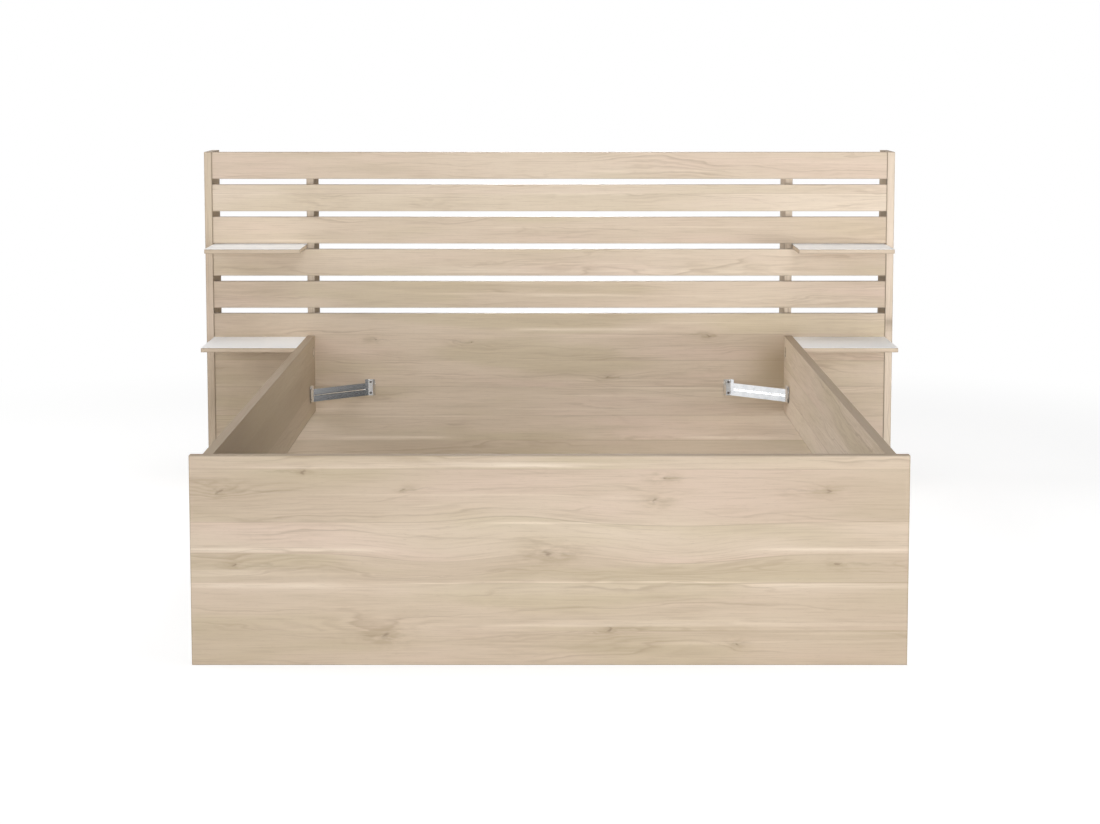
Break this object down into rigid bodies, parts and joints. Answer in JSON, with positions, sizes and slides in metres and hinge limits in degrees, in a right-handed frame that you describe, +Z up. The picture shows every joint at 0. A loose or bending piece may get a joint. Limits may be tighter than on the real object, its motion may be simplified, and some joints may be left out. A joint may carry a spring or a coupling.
{
  "type": "storage bed",
  "caption": "Knock-down bed frame with a slatted headboard, built-in bedside shelves with white tops, raised side rails, a solid footboard and steel corner braces.",
  "frame": {"origin": "on the floor, in the middle of the bed's overall width and length", "axes": "+Y from the footboard to the headboard, +X to the right seen from the foot end, +Z up"},
  "size_m": [2.0656, 2.084, 1],
  "materials": {
    "oak_long": "oak decor board, matt, grain along the board",
    "oak_upright": "oak decor board, matt, grain upright",
    "white_top": "white laminate, satin",
    "zinc_steel": "zinc plated sheet steel",
    "cast_zinc": "die-cast zinc",
    "beech": "fluted beech dowel",
    "cap_plastic": "moulded cover cap in the colour of the board"
  },
  "bodies": {
    "bed": {"slat_1": "oak_long", "slat_2": "oak_long", "slat_3": "oak_long", "slat_4": "oak_long", "slat_5": "oak_long", "head_panel": "oak_long", "upper_left_shelf": "oak_long", "upper_right_shelf": "oak_long", "lower_left_shelf": "oak_long", "lower_right_shelf": "oak_long", "left_rail": "oak_long", "right_rail": "oak_long", "footboard": "oak_long", "left_post": "oak_upright", "right_post": "oak_upright", "left_upright": "oak_upright", "right_upright": "oak_upright", "upper_left_shelf_top": "white_top", "upper_right_shelf_top": "white_top", "lower_left_shelf_top": "white_top", "lower_right_shelf_top": "white_top", "head_left_brace": "zinc_steel", "head_right_brace": "zinc_steel", "foot_left_brace": "zinc_steel", "foot_right_brace": "zinc_steel", "brace_screws": "zinc_steel", "rail_bolts": "zinc_steel", "post_screws": "zinc_steel", "upright_cam_bolts": "zinc_steel", "shelf_brackets": "zinc_steel", "shelf_screws": "zinc_steel", "upright_cams": "cast_zinc", "rail_dowels": "beech", "slat_dowels": "beech", "post_screw_caps": "cap_plastic"},
    "head_left_cam": {"head_left_cam": "cast_zinc"},
    "head_right_cam": {"head_right_cam": "cast_zinc"},
    "foot_left_cam": {"foot_left_cam": "cast_zinc"},
    "foot_right_cam": {"foot_right_cam": "cast_zinc"}
  },
  "joints": [
    {"name": "head_left_cam_turn", "type": "hinge", "parent": "bed", "child": "head_left_cam", "pos_m": [-0.718, 0.859, 0.402], "axis": [1, 0, 0], "range_deg": [0, 180]},
    {"name": "head_right_cam_turn", "type": "hinge", "parent": "bed", "child": "head_right_cam", "pos_m": [0.718, 0.859, 0.402], "axis": [1, 0, 0], "range_deg": [0, 180]},
    {"name": "foot_left_cam_turn", "type": "hinge", "parent": "bed", "child": "foot_left_cam", "pos_m": [-0.718, -0.985, 0.402], "axis": [-1, 0, 0], "range_deg": [0, 180]},
    {"name": "foot_right_cam_turn", "type": "hinge", "parent": "bed", "child": "foot_right_cam", "pos_m": [0.718, -0.985, 0.402], "axis": [-1, 0, 0], "range_deg": [0, 180]}
  ]
}
